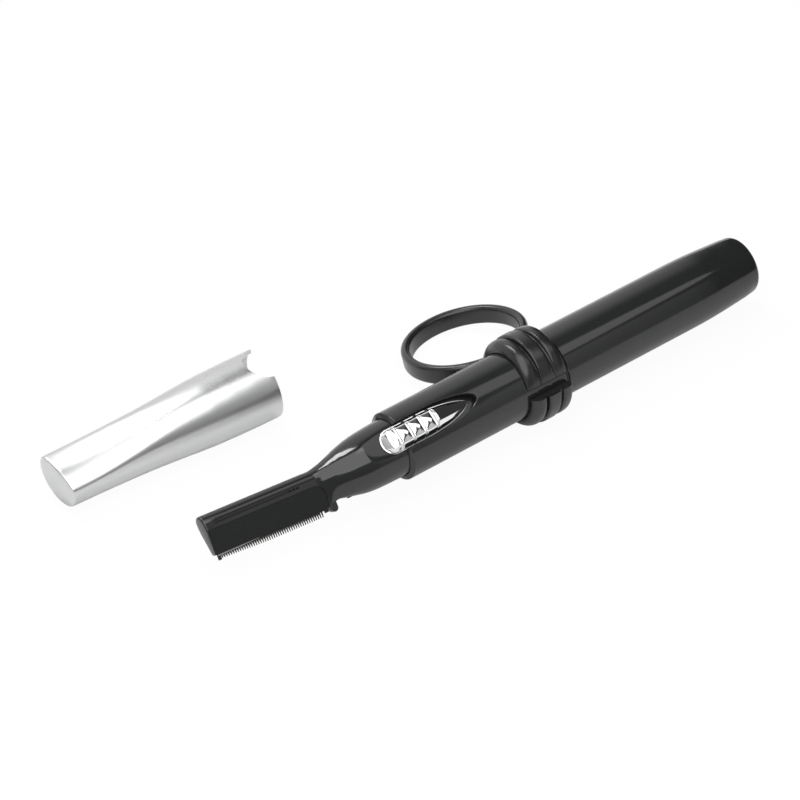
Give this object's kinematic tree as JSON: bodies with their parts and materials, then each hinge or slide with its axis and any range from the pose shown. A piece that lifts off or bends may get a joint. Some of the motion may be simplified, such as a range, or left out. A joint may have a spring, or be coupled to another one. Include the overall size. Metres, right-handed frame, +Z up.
{
  "type": "pen trimmer",
  "caption": "Slim battery pen trimmer with a side comb blade on a canted head, a sliding switch, a clip-on finger ring and a separate bevelled cap.",
  "frame": {"origin": "centre of the flat end face of the tail, on the pen's axis", "axes": "+X along the pen from the nose out of the tail, +Z up from the surface it lies on, the finger ring towards +Y"},
  "size_m": [0.1512, 0.0553, 0.0203],
  "materials": {
    "gloss_black_plastic": "moulded, polished",
    "satin_black_plastic": "moulded, satin",
    "matt_black_plastic": "fine matt",
    "satin_silver_paint": "silver metallic lacquer on plastic",
    "chrome_plating": "plated plastic",
    "ground_steel": "ground",
    "spring_steel": "drawn wire and strip",
    "brass_strip": "pressed strip",
    "white_acetal": "moulded",
    "sintered_magnet": "sintered",
    "switch_board_resin": "laminate",
    "cell_jacket": "printed sleeve without lettering",
    "black_rubber": "moulded"
  },
  "bodies": {
    "body": {"front_barrel": "gloss_black_plastic", "head_front_shell": "gloss_black_plastic", "head_back_shell": "gloss_black_plastic", "blade_cover": "matt_black_plastic", "comb": "ground_steel", "comb_latch": "gloss_black_plastic", "cutter_spring": "spring_steel", "lever_pin": "ground_steel", "motor_can": "ground_steel", "motor_end_cap": "white_acetal", "magnet_upper": "sintered_magnet", "magnet_lower": "sintered_magnet", "motor_tab_positive": "brass_strip", "motor_tab_negative": "brass_strip", "chassis": "white_acetal", "battery_strip": "brass_strip", "return_strip": "brass_strip", "switch_board": "switch_board_resin", "switch_contact_front": "brass_strip", "switch_contact_rear": "brass_strip", "seal_ring": "black_rubber"},
    "switch": {"switch_button": "chrome_plating", "switch_carrier": "matt_black_plastic", "switch_wiper": "brass_strip"},
    "rotor": {"motor_shaft": "ground_steel", "armature": "ground_steel", "eccentric": "brass_strip"},
    "lever": {"lever": "white_acetal"},
    "cutter": {"cutter": "ground_steel", "drive_rod": "white_acetal"},
    "tail": {"tail_cover": "gloss_black_plastic", "tail_strip": "brass_strip", "spring_plate": "ground_steel", "battery_spring": "spring_steel"},
    "cell": {"battery_cell": "cell_jacket", "battery_nub": "ground_steel"},
    "ring_clip": {"ring_clip": "satin_black_plastic"},
    "cap": {"cap": "satin_silver_paint"}
  },
  "joints": [
    {"name": "switch_slide", "type": "slide", "parent": "body", "child": "switch", "axis": [-1, 0, 0], "range_m": [0, 0.003]},
    {"name": "rotor_spin", "type": "hinge", "parent": "body", "child": "rotor", "pos_m": [-0.0772, 0, 0], "axis": [1, 0, 0], "continuous": true},
    {"name": "lever_swing", "type": "hinge", "parent": "body", "child": "lever", "pos_m": [-0.0881, 0, 0], "axis": [0, 0.766, -0.6428], "range_deg": [-4.5, 4.5]},
    {"name": "cutter_slide", "type": "slide", "parent": "body", "child": "cutter", "axis": [0.9969, -0.0504, -0.0601], "range_m": [-0.000285, 0.000285]},
    {"name": "tail_pull", "type": "slide", "parent": "body", "child": "tail", "axis": [1, 0, 0], "range_m": [0, 0.1]},
    {"name": "cell_slide", "type": "slide", "parent": "body", "child": "cell", "axis": [1, 0, 0], "range_m": [0, 0.05]},
    {"name": "clip_turn", "type": "hinge", "parent": "body", "child": "ring_clip", "pos_m": [-0.05935, 0, 0], "axis": [1, 0, 0], "continuous": true},
    {"name": "cap_slide", "type": "slide", "parent": "body", "child": "cap", "axis": [-0.9979, 0.0654, 0], "range_m": [0, 0.04]}
  ],
  "couplings": [
    {"joint": "lever_swing", "follows": "cutter_slide", "rad_per_m": -271.37},
    {"joint": "cell_slide", "follows": "tail_pull", "ratio": 0.5}
  ]
}
